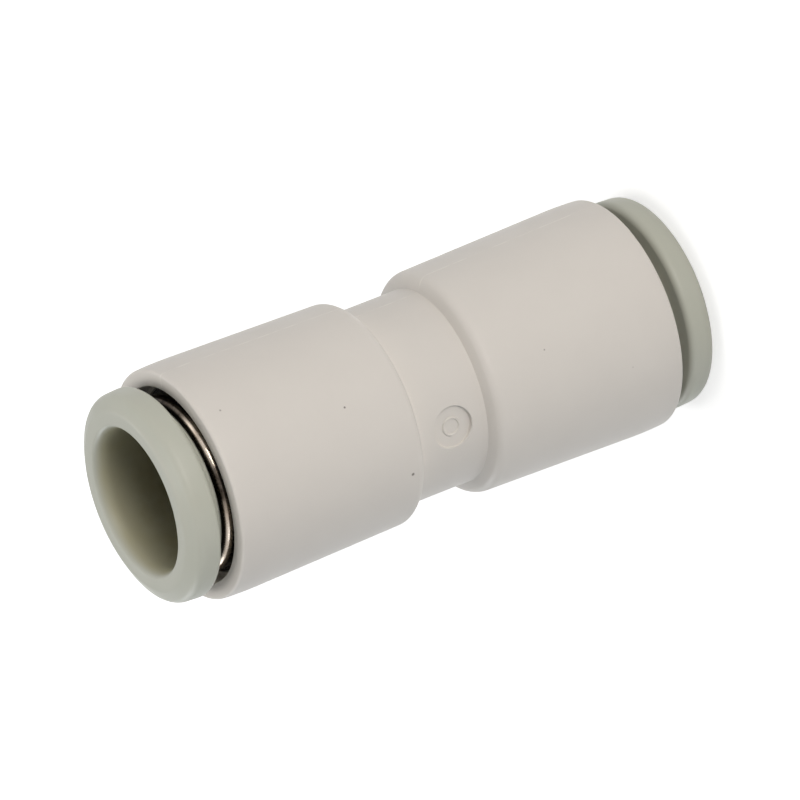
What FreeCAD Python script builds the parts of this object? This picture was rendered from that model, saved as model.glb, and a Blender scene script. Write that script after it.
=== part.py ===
import FreeCAD, Part
import os
import Sketcher

# Push-in straight union for 8 mm tube.
# The union's axis is Z. Each end piece is drawn with its own origin on the union's middle plane
# and its axis pointing out of its port, so "station" below means distance from that middle plane.
# The whole part then stands on the bottom button, with its origin on the floor.

# Driving dimensions, in millimetres.
DIMENSIONS = {
    # tube and travel
    "tube_diameter": 8.0,
    "tube_clearance": 0.06,
    "press_travel": 0.55,
    # moulded body, inside, from the middle plane outwards
    "web_thickness": 3.2,
    "tube_stop_width": 1.0,
    "socket_depth": 2.6,
    "socket_lead_in": 0.3,
    "seal_room": 2.4,
    "ledge_width": 0.3,
    "mouth_step": 0.25,
    "mouth_depth": 1.15,
    "mouth_lead_in": 0.08,
    # moulded body, outside
    "rim_wall": 0.94,
    "rim_taper": 2.1,
    "rim_drop": 0.06,
    "rim_round": 0.2,
    "shoulder_draft": 0.24,
    "shoulder_height": 0.81,
    "shoulder_round": 0.65,
    "neck_length": 4.6,
    # round recess of the mould insert, on the neck
    "recess_diameter": 2.36,
    "recess_depth": 0.25,
    # lip seal
    "lip_clearance": 0.1,
    "seal_end_gap": 0.05,
    "seal_heel": 0.85,
    "lip_root_height": 0.2,
    "outer_lip_thickness": 0.25,
    "inner_lip_thickness": 0.25,
    "inner_lip_setback": 0.2,
    "groove_width": 0.2,
    # collet
    "collet_length": 2.75,
    "collet_bore_clearance": 0.22,
    "collet_running_gap": 0.02,
    "collet_web": 1.0,
    "collet_cone_height": 1.15,
    "collet_rim_width": 0.43,
    "collet_slot_width": 0.7,
    "collet_slots": 6,
    # toothed gripping ring
    "chuck_sheet": 0.3,
    "chuck_rim_gap": 0.05,
    "chuck_rim_width": 0.45,
    "tooth_clearance": 0.1,
    "tooth_rise": 0.63,
    "tooth_bevel_width": 0.12,
    "tooth_bevel_height": 0.19,
    "tooth_slot_width": 0.45,
    "tooth_count": 12,
    # metal guide sleeve
    "guide_length": 3.3,
    "guide_sheet": 0.35,
    "guide_bend": 0.12,
    "barb_height": 0.06,
    "barb_ramp": 0.5,
    "barb_lead": 0.5,
    "barb_pitch": 1.0,
    "collar_rise": 0.25,
    "collar_land": 0.08,
    "collar_lead_in": 0.05,
    # release button
    "sleeve_wall": 0.54,
    "sleeve_running_gap": 0.08,
    "bead_height": 0.26,
    "bead_running_gap": 0.08,
    "bead_width": 0.5,
    "bead_ramp": 0.5,
    "bead_slack": 0.08,
    "nose_chamfer": 0.2,
    "flange_clearance": 0.1,
    "flange_overhang": 0.43,
    "flange_thickness": 1.85,
    "flange_draft": 0.08,
    "face_drop": 0.45,
    "face_width": 1.04,
    "flange_front_round": 0.6,
    "face_round": 0.6,
    "lip_round": 0.35,
    "flange_back_edge": 0.1,
}

doc = FreeCAD.newDocument("straight_union")
sheet = doc.addObject("Spreadsheet::Sheet", "dims")
for row, (alias, value) in enumerate(DIMENSIONS.items(), start=1):
    sheet.set(f"A{row}", alias)
    sheet.set(f"B{row}", str(value))
    sheet.setAlias(f"B{row}", alias)
doc.recompute()

# Radii worked out from the driving dimensions, from the tube outwards: the button's sleeve and
# bead run in the guide, the guide's barbs set the chamber, and the body's walls go round that.
TUBE_R = "dims.tube_diameter / 2"
BORE_R = f"({TUBE_R} + dims.tube_clearance)"
FLOW_R = f"({TUBE_R} - dims.tube_stop_width)"
SLEEVE_R = f"({BORE_R} + dims.sleeve_wall)"
BEAD_R = f"({SLEEVE_R} + dims.bead_height)"
COLLAR_BORE_R = f"({SLEEVE_R} + dims.sleeve_running_gap)"
COLLAR_R = f"({COLLAR_BORE_R} + dims.guide_sheet)"
GUIDE_BORE_R = f"({BEAD_R} + dims.bead_running_gap)"
GUIDE_R = f"({GUIDE_BORE_R} + dims.guide_sheet)"
CHAMBER_R = f"({GUIDE_R} + dims.barb_height)"
SEAL_ROOM_R = f"({CHAMBER_R} - dims.ledge_width)"
MOUTH_R = f"({CHAMBER_R} + dims.mouth_step)"
FLANGE_R = f"({MOUTH_R} + dims.flange_overhang)"
RIM_R = f"({MOUTH_R} + dims.rim_wall)"
BARREL_R = f"({RIM_R} + dims.rim_drop)"
SHOULDER_R = f"({BARREL_R} - dims.shoulder_draft)"
NECK_R = f"({SHOULDER_R} - dims.shoulder_height)"

# Stations worked out from the driving dimensions, from the middle plane outwards: what is
# stacked in the port sets where the body ends and where the button's face is.
NECK_END = "(dims.neck_length / 2)"
TUBE_STOP = "(dims.web_thickness / 2)"
SEAL_SEAT = f"({TUBE_STOP} + dims.socket_depth)"
LEDGE = f"({SEAL_SEAT} + dims.seal_room)"
COLLET_TOP = f"({LEDGE} + dims.collet_length)"
CHUCK_TOP = f"({COLLET_TOP} + dims.chuck_sheet)"
MOUTH_FLOOR = f"({CHUCK_TOP} + dims.guide_length)"
SHOULDER_UNDERSIDE = f"({MOUTH_FLOOR} - dims.guide_sheet)"
BODY_END = f"({MOUTH_FLOOR} + dims.mouth_depth)"
COLLAR_CREST = f"({BODY_END} + dims.collar_rise)"
FLANGE_BACK = f"({COLLAR_CREST} + dims.press_travel + dims.flange_clearance)"
FACE = f"({FLANGE_BACK} + dims.flange_thickness)"


# The sketcher's numbers for the points where a run starts and ends.
START = 1
END = 2
# How far, in millimetres, an edge may be from its stated circle and still be taken for it.
EDGE_MATCH = 0.0001


def size(expression):
    """The value in millimetres of an expression on the sheet."""
    return float(sheet.evalExpression(expression))


def origin_feature(body, role):
    """The body's own origin plane or axis of that role."""
    return next(f for f in body.Origin.OriginFeatures if f.Role == role)


def new_body(label):
    """An empty body whose label is the node's name."""
    body = doc.addObject("PartDesign::Body", label)
    body.Label = label
    return body


def new_sketch(body, name, plane, offset=None):
    """A sketch on one of the body's origin planes, moved along its normal by offset."""
    sketch = body.newObject("Sketcher::SketchObject", f"{body.Name}_{name}")
    sketch.AttachmentSupport = [(origin_feature(body, plane), "")]
    sketch.MapMode = "FlatFace"
    if offset is not None:
        sketch.setExpression("AttachmentOffset.Base.z", offset)
    return sketch


def add_datum(sketch, kind, index, point, name, expression):
    """Hold one end of a run at a named distance from the sketch's origin."""
    constraint = Sketcher.Constraint(kind, -1, 1, index, point, size(expression))
    number = sketch.addConstraint(constraint)
    sketch.renameConstraint(number, name)
    sketch.setExpression(f"Constraints.{name}", expression)


def tangent_arc(before, start, end):
    """The arc from start to end that leaves start in line with the run from before."""
    along = (start - before).normalize()
    chord = end - start
    sine = along.x * chord.y - along.y * chord.x
    bulge = chord.Length ** 2 / (2 * sine)
    centre = start + FreeCAD.Vector(-along.y, along.x, 0) * bulge
    middle = (start + end) / 2 - centre
    return Part.Arc(start, centre + middle.normalize() * abs(bulge), end)


def draw_outline(sketch, corners):
    """A closed outline of straight runs, each corner (across, up) given by two expressions.

    A corner with "arc" as its third item starts an arc that is tangent to the run before it.
    """
    points = [FreeCAD.Vector(size(corner[0]), size(corner[1]), 0) for corner in corners]
    count = len(points)
    starts = [START] * count
    ends = [END] * count
    for index, corner in enumerate(corners):
        start = points[index]
        end = points[(index + 1) % count]
        run = Part.LineSegment(start, end)
        if "arc" in corner[2:]:
            run = tangent_arc(points[index - 1], start, end)
        sketch.addGeometry(run, False)
        drawn = sketch.Geometry[index]
        if drawn.StartPoint.distanceToPoint(start) > drawn.EndPoint.distanceToPoint(start):
            starts[index], ends[index] = END, START
    for index, corner in enumerate(corners):
        kind = "Tangent" if "arc" in corner[2:] else "Coincident"
        join = Sketcher.Constraint(kind, index - 1 if index else count - 1, ends[index - 1],
                                   index, starts[index])
        sketch.addConstraint(join)
    for index, (across, up, *_) in enumerate(corners):
        before = index - 1
        if index > 0 and across == corners[before][0]:
            sketch.addConstraint(Sketcher.Constraint("Vertical", before))
        else:
            add_datum(sketch, "DistanceX", index, starts[index], f"across_{index}", across)
        if index > 0 and up == corners[before][1]:
            sketch.addConstraint(Sketcher.Constraint("Horizontal", before))
        else:
            add_datum(sketch, "DistanceY", index, starts[index], f"up_{index}", up)


def revolve(body, name, corners):
    """Turn an outline of (radius, station) corners right round the body's Z axis."""
    sketch = new_sketch(body, f"{name}_outline", "XZ_Plane")
    draw_outline(sketch, corners)
    feature = body.newObject("PartDesign::Revolution", f"{body.Name}_{name}")
    feature.Profile = sketch
    feature.ReferenceAxis = (origin_feature(body, "Z_Axis"), [""])
    feature.Angle = 360
    doc.recompute()
    return feature


def circular_edges(shape, rings):
    """Names of the edges that are circles about Z with one of the (radius, station) pairs."""
    wanted = [(size(radius), size(station)) for radius, station in rings]
    names = []
    for number, edge in enumerate(shape.Edges, start=1):
        curve = edge.Curve
        if not isinstance(curve, Part.Circle):
            continue
        for radius, station in wanted:
            off = max(abs(curve.Radius - radius), abs(curve.Center.z - station))
            if off < EDGE_MATCH:
                names.append(f"Edge{number}")
    return names


def dress_edges(body, kind, name, rings, amount):
    """Round or chamfer the circular edges at the given (radius, station) pairs."""
    base = body.Tip
    edges = circular_edges(base.Shape, rings)
    if len(edges) != len(rings):
        raise ValueError(f"{body.Label}: {name} found {len(edges)} of {len(rings)} edges")
    feature = body.newObject(f"PartDesign::{kind}", f"{body.Name}_{name}")
    feature.Base = (base, edges)
    feature.setExpression("Radius" if kind == "Fillet" else "Size", amount)
    doc.recompute()
    return feature


def both_ends(radius, station):
    """The same circle at both ends of the body."""
    return [(radius, station), (radius, f"-{station}")]


def cut_slots(body, name, width, inner, outer, floor, count):
    """Radial slots open upwards from station floor, spread evenly round the axis."""
    half = f"({width} / 2)"
    corners = [(inner, f"-{half}"), (outer, f"-{half}"), (outer, half), (inner, half)]
    sketch = new_sketch(body, f"{name}_outline", "XY_Plane", floor)
    draw_outline(sketch, corners)
    pocket = body.newObject("PartDesign::Pocket", f"{body.Name}_{name}")
    pocket.Profile = sketch
    pocket.Type = "ThroughAll"
    pocket.Reversed = True
    doc.recompute()
    pattern = body.newObject("PartDesign::PolarPattern", f"{body.Name}_{name}_round")
    pattern.Originals = [pocket]
    pattern.Axis = (origin_feature(body, "Z_Axis"), [""])
    pattern.Angle = 360
    pattern.setExpression("Occurrences", count)
    body.Tip = pattern
    doc.recompute()


def make_body():
    """Moulded housing: two barrels, the neck between them, and the stepped bore of both ports."""
    body = new_body("body")
    revolve(body, "half", [
        (FLOW_R, "0"),
        (NECK_R, "0"),
        (NECK_R, NECK_END),
        (SHOULDER_R, NECK_END),
        (BARREL_R, f"({BODY_END} - dims.rim_taper)", "arc"),
        (RIM_R, BODY_END),
        (MOUTH_R, BODY_END),
        (MOUTH_R, MOUTH_FLOOR),
        (CHAMBER_R, MOUTH_FLOOR),
        (CHAMBER_R, LEDGE),
        (SEAL_ROOM_R, LEDGE),
        (SEAL_ROOM_R, SEAL_SEAT),
        (BORE_R, SEAL_SEAT),
        (BORE_R, TUBE_STOP),
        (FLOW_R, TUBE_STOP),
    ])
    mirrored = body.newObject("PartDesign::Mirrored", "body_other_half")
    mirrored.Originals = [body.Tip]
    mirrored.MirrorPlane = (origin_feature(body, "XY_Plane"), [""])
    body.Tip = mirrored
    doc.recompute()
    dress_edges(body, "Fillet", "shoulder", both_ends(SHOULDER_R, NECK_END), "dims.shoulder_round")
    dress_edges(body, "Fillet", "rim", both_ends(RIM_R, BODY_END), "dims.rim_round")
    dress_edges(body, "Chamfer", "mouth", both_ends(MOUTH_R, BODY_END), "dims.mouth_lead_in")
    dress_edges(body, "Chamfer", "socket", both_ends(BORE_R, SEAL_SEAT), "dims.socket_lead_in")
    # The recess has a flat floor, cut outwards from a plane just under the neck's skin.
    sketch = new_sketch(body, "recess_outline", "XZ_Plane", f"{NECK_R} - dims.recess_depth")
    sketch.addGeometry(Part.Circle(FreeCAD.Vector(), FreeCAD.Vector(0, 0, 1), 1.0), False)
    sketch.addConstraint(Sketcher.Constraint("Coincident", 0, 3, -1, 1))
    sketch.addConstraint(Sketcher.Constraint("Diameter", 0, size("dims.recess_diameter")))
    sketch.renameConstraint(1, "recess_diameter")
    sketch.setExpression("Constraints.recess_diameter", "dims.recess_diameter")
    pocket = body.newObject("PartDesign::Pocket", "body_recess")
    pocket.Profile = sketch
    pocket.Type = "ThroughAll"
    pocket.Reversed = True
    doc.recompute()
    return body


def make_seal(label):
    """Rubber seal: a heel towards the collet and two lips, the outer one down on the seat."""
    body = new_body(label)
    heel_end = f"({LEDGE} - dims.seal_end_gap)"
    lip_root = f"({heel_end} - dims.seal_heel)"
    inner_tip = f"({SEAL_SEAT} + dims.inner_lip_setback)"
    lip_r = f"({TUBE_R} + dims.lip_clearance)"
    heel_r = f"({lip_r} + dims.lip_root_height)"
    groove_r = f"({heel_r} + dims.inner_lip_thickness)"
    revolve(body, "ring", [
        (heel_r, heel_end),
        (SEAL_ROOM_R, heel_end),
        (SEAL_ROOM_R, SEAL_SEAT),
        (f"({SEAL_ROOM_R} - dims.outer_lip_thickness)", SEAL_SEAT),
        (f"({groove_r} + dims.groove_width)", lip_root),
        (groove_r, lip_root),
        (f"({lip_r} + dims.inner_lip_thickness)", inner_tip),
        (lip_r, inner_tip),
        (heel_r, lip_root),
    ])
    return body


def make_collet(label):
    """Plastic ring on the ledge: slotted fingers carry the gripping ring and back its teeth."""
    body = new_body(label)
    bore_r = f"({TUBE_R} + dims.collet_bore_clearance)"
    outer_r = f"({CHAMBER_R} - dims.collet_running_gap)"
    revolve(body, "ring", [
        (bore_r, LEDGE),
        (outer_r, LEDGE),
        (outer_r, COLLET_TOP),
        (f"({outer_r} - dims.collet_rim_width)", COLLET_TOP),
        (bore_r, f"({COLLET_TOP} - dims.collet_cone_height)"),
    ])
    cut_slots(body, "slots", "dims.collet_slot_width", TUBE_R, CHAMBER_R,
              f"({LEDGE} + dims.collet_web)", "dims.collet_slots")
    return body


def make_chuck(label):
    """Stainless ring of sheet: a flat rim and teeth that lean inwards, away from the mouth."""
    body = new_body(label)
    rim_r = f"({CHAMBER_R} - dims.chuck_rim_gap)"
    root_r = f"({rim_r} - dims.chuck_rim_width)"
    tip_r = f"({TUBE_R} + dims.tooth_clearance)"
    tip = f"({CHUCK_TOP} - dims.tooth_rise)"
    revolve(body, "ring", [
        (rim_r, COLLET_TOP),
        (rim_r, CHUCK_TOP),
        (root_r, CHUCK_TOP),
        (tip_r, tip),
        (f"({tip_r} + dims.tooth_bevel_width)", f"({tip} - dims.tooth_bevel_height)"),
        (f"({root_r} - dims.tooth_bevel_width / 2)", COLLET_TOP),
    ])
    cut_slots(body, "slots", "dims.tooth_slot_width", FLOW_R, root_r,
              LEDGE, "dims.tooth_count")
    return body


def make_guide(label):
    """Drawn metal sleeve in the mouth: barbed wall, inward shoulder and the collar's rolled edge."""
    body = new_body(label)
    corners = [
        (GUIDE_BORE_R, CHUCK_TOP),
        (GUIDE_BORE_R, SHOULDER_UNDERSIDE),
        (COLLAR_BORE_R, SHOULDER_UNDERSIDE),
        (COLLAR_BORE_R, COLLAR_CREST),
        (COLLAR_R, COLLAR_CREST),
        (COLLAR_R, MOUTH_FLOOR),
        (GUIDE_R, MOUTH_FLOOR),
    ]
    # Each barb is a saw tooth: a square step towards the mouth and a ramp towards the port.
    for barb in (1, 0):
        step = f"({CHUCK_TOP} + dims.barb_lead + dims.barb_ramp + {barb} * dims.barb_pitch)"
        corners.append((GUIDE_R, step))
        corners.append((CHAMBER_R, step))
        corners.append((GUIDE_R, f"({step} - dims.barb_ramp)"))
    corners.append((GUIDE_R, CHUCK_TOP))
    revolve(body, "sleeve", corners)
    rolled = [(COLLAR_R, COLLAR_CREST)]
    dress_edges(body, "Fillet", "rolled_edge", rolled, "dims.guide_sheet - dims.collar_land")
    lead_in = [(COLLAR_BORE_R, COLLAR_CREST)]
    dress_edges(body, "Chamfer", "lead_in", lead_in, "dims.collar_lead_in")
    dress_edges(body, "Chamfer", "bend", [(GUIDE_R, MOUTH_FLOOR)], "dims.guide_bend")
    return body


def make_release_button(label):
    """Flange and sleeve in one: the sleeve's bead snaps in behind the guide's shoulder."""
    body = new_body(label)
    nose = f"({CHUCK_TOP} + dims.press_travel)"
    bead_top = f"({SHOULDER_UNDERSIDE} - dims.bead_slack)"
    bead_foot = f"({bead_top} - dims.bead_width)"
    land_r = f"({BORE_R} + dims.face_width)"
    front_r = f"({FLANGE_R} - dims.flange_draft)"
    front = f"({FACE} - dims.face_drop)"
    revolve(body, "turned", [
        (BORE_R, nose),
        (SLEEVE_R, nose),
        (SLEEVE_R, f"({bead_foot} - dims.bead_ramp)"),
        (BEAD_R, bead_foot),
        (BEAD_R, bead_top),
        (SLEEVE_R, bead_top),
        (SLEEVE_R, FLANGE_BACK),
        (FLANGE_R, FLANGE_BACK),
        (front_r, front),
        (land_r, FACE),
        (BORE_R, FACE),
    ])
    dress_edges(body, "Chamfer", "nose", [(SLEEVE_R, nose)], "dims.nose_chamfer")
    back = [(FLANGE_R, FLANGE_BACK)]
    dress_edges(body, "Chamfer", "back", back, "dims.flange_back_edge")
    dress_edges(body, "Fillet", "front", [(front_r, front)], "dims.flange_front_round")
    dress_edges(body, "Fillet", "face", [(land_r, FACE)], "dims.face_round")
    dress_edges(body, "Fillet", "lip", [(BORE_R, FACE)], "dims.lip_round")
    return body


nodes = [make_body()]
for end, turn in (("top", 0), ("bottom", 180)):
    for piece, make in (
        ("seal", make_seal),
        ("collet", make_collet),
        ("chuck", make_chuck),
        ("guide", make_guide),
        ("release_button", make_release_button),
    ):
        node = make(f"{end}_{piece}")
        turned = FreeCAD.Rotation(FreeCAD.Vector(1, 0, 0), turn)
        node.Placement = FreeCAD.Placement(FreeCAD.Vector(), turned)
        nodes.append(node)

# Lift every piece so that the bottom button's face is on the floor.
for node in nodes:
    node.setExpression("Placement.Base.z", FACE)
doc.recompute()

for item in doc.Objects:
    if "Invalid" in item.State or "Error" in item.State:
        raise ValueError(f"{item.Label} failed: {item.State}")
for node in nodes:
    if node.Shape.isNull() or not node.Shape.isValid() or len(node.Shape.Solids) != 1:
        raise ValueError(f"{node.Label} is not one valid solid")

os.makedirs("parts", exist_ok=True)
for node in nodes:
    node.Shape.exportStep(f"parts/{node.Label}.step")
    box = node.Shape.BoundBox
    print(f"{node.Label}: {node.Shape.Volume:.2f} mm3, z {box.ZMin:.3f} to {box.ZMax:.3f}")
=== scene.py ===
"""Push-in straight union for 8 mm tube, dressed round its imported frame.

The union stands on its bottom button with its axis on Z. Each piece is drawn in millimetres from
the union's middle plane ("station" is the distance from that plane towards the piece's own end)
and is put into the frame in metres.
"""

import logging
import math
from collections.abc import Callable, Iterable, Sequence
from dataclasses import dataclass
from enum import Enum
from functools import cache
from typing import ClassVar

import bmesh
import bpy
from mathutils import Matrix, Vector


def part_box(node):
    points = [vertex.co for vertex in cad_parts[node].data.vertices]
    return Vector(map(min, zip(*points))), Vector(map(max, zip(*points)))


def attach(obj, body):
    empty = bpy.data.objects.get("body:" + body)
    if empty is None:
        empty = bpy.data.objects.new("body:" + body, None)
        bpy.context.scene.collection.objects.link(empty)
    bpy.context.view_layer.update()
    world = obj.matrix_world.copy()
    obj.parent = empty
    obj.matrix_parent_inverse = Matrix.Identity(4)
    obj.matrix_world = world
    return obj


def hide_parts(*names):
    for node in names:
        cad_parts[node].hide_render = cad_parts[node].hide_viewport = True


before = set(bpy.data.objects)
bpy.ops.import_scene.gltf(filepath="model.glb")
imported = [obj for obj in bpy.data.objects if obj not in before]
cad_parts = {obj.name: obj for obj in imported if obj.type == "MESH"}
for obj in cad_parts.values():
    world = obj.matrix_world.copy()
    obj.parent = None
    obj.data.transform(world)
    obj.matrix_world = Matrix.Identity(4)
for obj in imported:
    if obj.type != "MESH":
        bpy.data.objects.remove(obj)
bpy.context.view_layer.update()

Rgb = tuple[int, int, int]
Shade = tuple[float, float, float, float]
Span = tuple[float, float]
Socket = bpy.types.NodeSocket
Value = Socket | float | Sequence[float]
Vert = bmesh.types.BMVert
Row = list[Vert | None]

log = logging.getLogger("straight_union")

MM = 0.001
FULL_TURN = 2.0 * math.pi
SHARP_ANGLE = math.radians(32.0)
LEAST_ROUNDED_TURN = SHARP_ANGLE / 8.0
ROUND_STEP = math.radians(9.0)
MOST_OF_SIDE = 0.49
COLUMN_GAP = 0.3
SHADING_WEIGHT = 80
WHITE = (1.0, 1.0, 1.0, 1.0)
BURNT = (96, 88, 80)
NOISE_SPAN = (0.3, 0.7)


class End(Enum):
    """The two ends of the union, each with its sign along Z."""

    TOP = 1
    BOTTOM = -1

    @property
    def label(self) -> str:
        """The end's name as the nodes spell it."""
        return self.name.lower()

    def place(self, middle: float) -> Matrix:
        """The move from a piece drawn about the middle plane to its place in the frame.

        Args:
            middle: Height of the middle plane in the frame, in metres.

        Returns:
            A lift for the top end, and a half turn about X before the lift for the bottom end.
        """
        lift = Matrix.Translation((0.0, 0.0, middle))
        if self is End.TOP:
            return lift
        return lift @ Matrix.Rotation(math.pi, 4, "X")


@dataclass(frozen=True)
class Corner:
    """A corner of a turned outline: radius, station and rounding in millimetres."""

    radius: float
    station: float
    rounding: float = 0.0
    skin: bool = False

    @property
    def spot(self) -> Vector:
        """The corner as a flat point, radius first."""
        return Vector((self.radius, self.station))


def quarter_turns(steps: int) -> list[float]:
    """Angles from zero to a right angle in even steps, in radians."""
    return [math.pi / 2.0 * step / steps for step in range(steps + 1)]


def tangent_arc(before: Corner, start: Corner, end: Corner, steps: int) -> list[Corner]:
    """The corners between start and end on the arc that leaves start in line with before.

    Args:
        before: Corner ahead of start, which gives the arc's first direction.
        start: Corner where the arc starts.
        end: Corner where the arc ends.
        steps: Number of chords that the arc is drawn with.

    Returns:
        The corners inside the arc, without its ends.
    """
    along = (start.spot - before.spot).normalized()
    chord = end.spot - start.spot
    across = along.x * chord.y - along.y * chord.x
    bulge = chord.length_squared / (2.0 * across)
    centre = start.spot + Vector((-along.y, along.x)) * bulge
    spoke = start.spot - centre
    sweep = 2.0 * math.asin(min(1.0, chord.length / (2.0 * abs(bulge))))
    turn = math.copysign(sweep, across)
    inside = []
    for step in range(1, steps):
        point = centre + Matrix.Rotation(turn * step / steps, 2) @ spoke
        inside.append(Corner(point.x, point.y, 0.0, start.skin))
    return inside


@dataclass(frozen=True)
class OutlinePoint:
    """A point of a finished outline, and whether the mould's parting line crosses it."""

    radius: float
    station: float
    skin: bool


def soften(corners: Sequence[Corner]) -> list[OutlinePoint]:
    """Rounds the corners of a closed outline.

    Args:
        corners: The outline's corners in order.

    Returns:
        The outline's points, with each rounded corner drawn as a short arc.
    """
    points: list[OutlinePoint] = []
    for index, corner in enumerate(corners):
        here = corner.spot
        back = corners[index - 1].spot - here
        ahead = corners[(index + 1) % len(corners)].spot - here
        turn = math.pi - back.angle(ahead)
        if corner.rounding <= 0.0 or turn < LEAST_ROUNDED_TURN:
            points.append(OutlinePoint(corner.radius, corner.station, corner.skin))
            continue
        reach = corner.rounding * math.tan(turn / 2.0)
        reach = min(reach, back.length * MOST_OF_SIDE, ahead.length * MOST_OF_SIDE)
        rounding = reach / math.tan(turn / 2.0)
        start = here + back.normalized() * reach
        inward = (back.normalized() + ahead.normalized()).normalized()
        centre = here + inward * math.hypot(rounding, reach)
        sense = math.copysign(1.0, back.y * ahead.x - back.x * ahead.y)
        steps = max(2, math.ceil(turn / ROUND_STEP))
        for step in range(steps + 1):
            spoke = Matrix.Rotation(sense * turn * step / steps, 2) @ (start - centre)
            point = centre + spoke
            points.append(OutlinePoint(point.x, point.y, corner.skin))
    return points


@dataclass(frozen=True)
class PartingLine:
    """The fine ridge that a two-part mould leaves along a turned skin, at plus and minus X."""

    height: float = 0.008
    half_width: float = 0.045

    def angles(self, radius: float) -> list[float]:
        """Extra column angles that draw the ridge on a skin of this radius.

        Args:
            radius: Radius of the skin in millimetres.

        Returns:
            Angles from minus Y, in radians.
        """
        spread = self.half_width / radius
        steps = (-1.0, -0.5, 0.0, 0.5, 1.0)
        return [side * math.pi / 2.0 + spread * step for side in (-1, 1) for step in steps]

    def rise(self, angle: float, radius: float) -> float:
        """How far the ridge stands out at an angle.

        Args:
            angle: Angle from minus Y, in radians.
            radius: Radius of the skin in millimetres.

        Returns:
            Height over the skin in millimetres.
        """
        off = abs(abs(angle) - math.pi / 2.0) * radius / self.half_width
        if off >= 1.0:
            return 0.0
        return self.height * 0.5 * (1.0 + math.cos(math.pi * off))


def ring_angles(count: int, extra: Iterable[float] = ()) -> list[float]:
    """Column angles right round the axis, measured from minus Y towards plus X.

    Args:
        count: Number of even columns.
        extra: Further angles, which take the place of even columns that lie close by.

    Returns:
        The angles from minus pi up to pi, in order.
    """
    step = FULL_TURN / count
    added = sorted(extra)
    even = [-math.pi + step * index for index in range(count)]
    kept = [a for a in even if all(abs(a - b) > step * COLUMN_GAP for b in added)]
    return sorted(kept + added)


def on_ring(radius: float, angle: float, station: float) -> Vector:
    """A point at an angle from minus Y, turned into metres.

    Args:
        radius: Distance from the axis in millimetres.
        angle: Angle from minus Y towards plus X, in radians.
        station: Distance from the middle plane in millimetres.

    Returns:
        The point in metres, about the middle plane.
    """
    return Vector((radius * math.sin(angle), -radius * math.cos(angle), station)) * MM


def spin(
    bm: bmesh.types.BMesh,
    outline: Sequence[OutlinePoint],
    angles: Sequence[float],
    rise: Callable[[float, float], float] | None = None,
    skipped: Callable[[int, int], bool] | None = None,
) -> list[Row]:
    """Turns a closed outline round the axis into a grid of four-sided faces.

    Args:
        bm: Mesh that takes the faces.
        outline: Closed outline.
        angles: Column angles, right round.
        rise: Extra radius on the skin at an angle and radius, both in and out in millimetres.
        skipped: Tells whether the face after a given row and column is left out.

    Returns:
        The grid of vertices by row and column, with None where nothing uses a vertex.
    """
    rows, columns = len(outline), len(angles)
    leave_out = skipped or (lambda row, column: False)
    grid: list[Row] = []
    for row, point in enumerate(outline):
        line: Row = []
        for column, angle in enumerate(angles):
            around = [(row - down, column - left) for down in (0, 1) for left in (0, 1)]
            if all(leave_out(r % rows, c % columns) for r, c in around):
                line.append(None)
                continue
            radius = point.radius
            if rise is not None and point.skin:
                radius += rise(angle, radius)
            line.append(bm.verts.new(on_ring(radius, angle, point.station)))
        grid.append(line)
    for row in range(rows):
        for column in range(columns):
            if leave_out(row, column):
                continue
            upper, lower = grid[row], grid[(row + 1) % rows]
            beside = (column + 1) % columns
            bm.faces.new((upper[column], upper[beside], lower[beside], lower[column]))
    return grid


def bridge(bm: bmesh.types.BMesh, outer: Sequence[Vert], inner: Sequence[Vert]) -> None:
    """Joins two closed loops that have the same number of vertices.

    Args:
        bm: Mesh that takes the faces.
        outer: First loop.
        inner: Second loop, in step with the first.
    """
    for index in range(len(outer)):
        beside = (index + 1) % len(outer)
        bm.faces.new((outer[index], outer[beside], inner[beside], inner[index]))


def mesh_object(name: str, bm: bmesh.types.BMesh, place: Matrix) -> bpy.types.Object:
    """Puts a finished mesh into the scene, smooth apart from its sharp edges.

    Args:
        name: Name of the piece.
        bm: Finished mesh, drawn about the middle plane. It is freed here.
        place: Move from there into the frame.

    Returns:
        The new object, whose own origin stays at the frame's.
    """
    bmesh.ops.transform(bm, matrix=place, verts=bm.verts)
    bmesh.ops.recalc_face_normals(bm, faces=bm.faces)
    mesh = bpy.data.meshes.new(name)
    bm.to_mesh(mesh)
    bm.free()
    mesh.shade_smooth()
    mesh.set_sharp_from_angle(angle=SHARP_ANGLE)
    obj = bpy.data.objects.new(name, mesh)
    bpy.context.scene.collection.objects.link(obj)
    even = obj.modifiers.new("even_shading", "WEIGHTED_NORMAL")
    even.keep_sharp = True
    even.weight = SHADING_WEIGHT
    return obj


def linear(red: int, green: int, blue: int) -> Shade:
    """A shader colour from 0 to 255 screen values.

    Args:
        red: Red on the screen.
        green: Green on the screen.
        blue: Blue on the screen.

    Returns:
        The linear colour with full alpha.
    """
    channels = []
    for value in (red, green, blue):
        share = value / 255.0
        low = share / 12.92
        high = ((share + 0.055) / 1.055) ** 2.4
        channels.append(low if share <= 0.04045 else high)
    return (channels[0], channels[1], channels[2], 1.0)


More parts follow.
